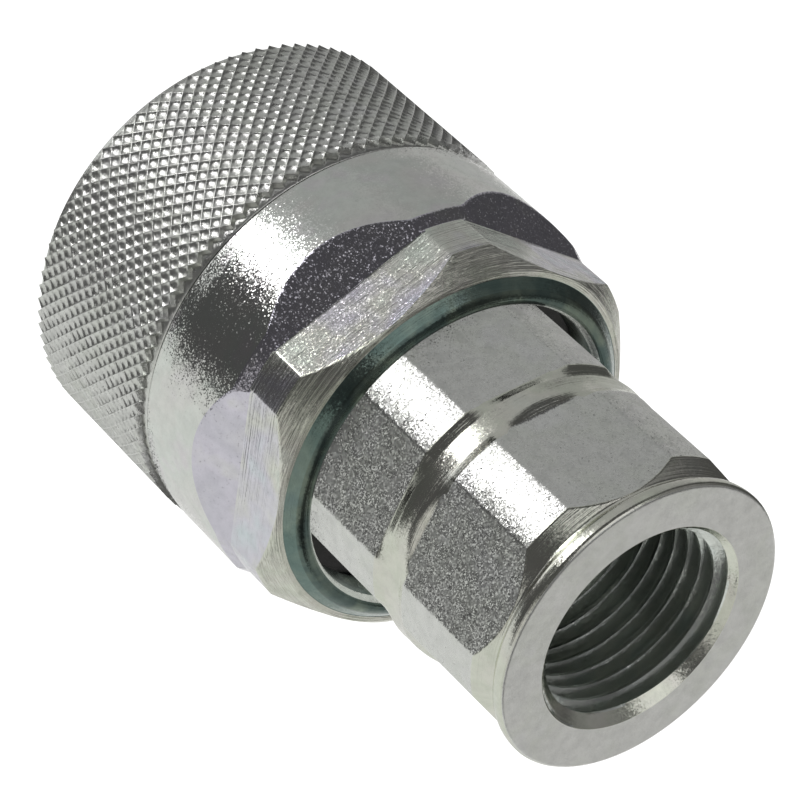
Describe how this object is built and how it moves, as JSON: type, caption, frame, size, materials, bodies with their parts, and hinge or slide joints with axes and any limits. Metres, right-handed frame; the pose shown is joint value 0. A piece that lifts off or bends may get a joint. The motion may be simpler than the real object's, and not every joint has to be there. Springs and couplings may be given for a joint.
{
  "type": "quick disconnect coupler",
  "caption": "Screw-to-connect hydraulic quick coupler half: knurled coupling nut with hex, poppet valve inside, female pipe port with hex flats behind.",
  "frame": {"origin": "centre of the coupling nut's front (mating) face, the face that the coupler stands on", "axes": "+Z along the coupler's axis from the mating end to the female port; +X square to one of the port adaptor's hexagon flats"},
  "size_m": [0.043, 0.043, 0.0663],
  "materials": {
    "zinc_plated_body": "bright zinc plate with a faint yellow-green passivation over machined steel",
    "zinc_plated_nut": "bright zinc plate with a faint iridescent passivation, diamond knurled grip",
    "turned_steel": "fine turned steel",
    "spring_steel": "drawn spring wire",
    "nitrile_rubber": "satin black moulded rubber",
    "ptfe": "waxy white",
    "bronze": "turned bearing bronze"
  },
  "bodies": {
    "coupler_body": {"port_adaptor": "zinc_plated_body", "valve_body": "turned_steel", "nut_wire_ring": "spring_steel", "nut_dust_seal": "nitrile_rubber", "adaptor_oring": "nitrile_rubber", "adaptor_backup_ring": "ptfe", "interface_oring": "nitrile_rubber", "interface_backup_front": "ptfe", "interface_backup_rear": "ptfe", "valve_guide": "turned_steel", "guide_bush": "bronze", "guide_circlip": "spring_steel"},
    "nut": {"coupling_nut": "zinc_plated_nut"},
    "valve": {"poppet": "turned_steel", "poppet_seal": "nitrile_rubber", "poppet_seal_washer": "turned_steel", "poppet_nose": "turned_steel", "stem_nut": "turned_steel", "spring_seat": "turned_steel", "poppet_spring": "spring_steel"}
  },
  "joints": [
    {"name": "nut_spin", "type": "hinge", "parent": "coupler_body", "child": "nut", "pos_m": [0, 0, 0.0285], "axis": [0, 0, 1], "continuous": true},
    {"name": "poppet_slide", "type": "slide", "parent": "coupler_body", "child": "valve", "axis": [0, 0, 1], "range_m": [0, 0.0055], "stiffness_N_per_m": 1800, "springref_m": -0.006, "deforming": ["poppet_spring"]}
  ]
}
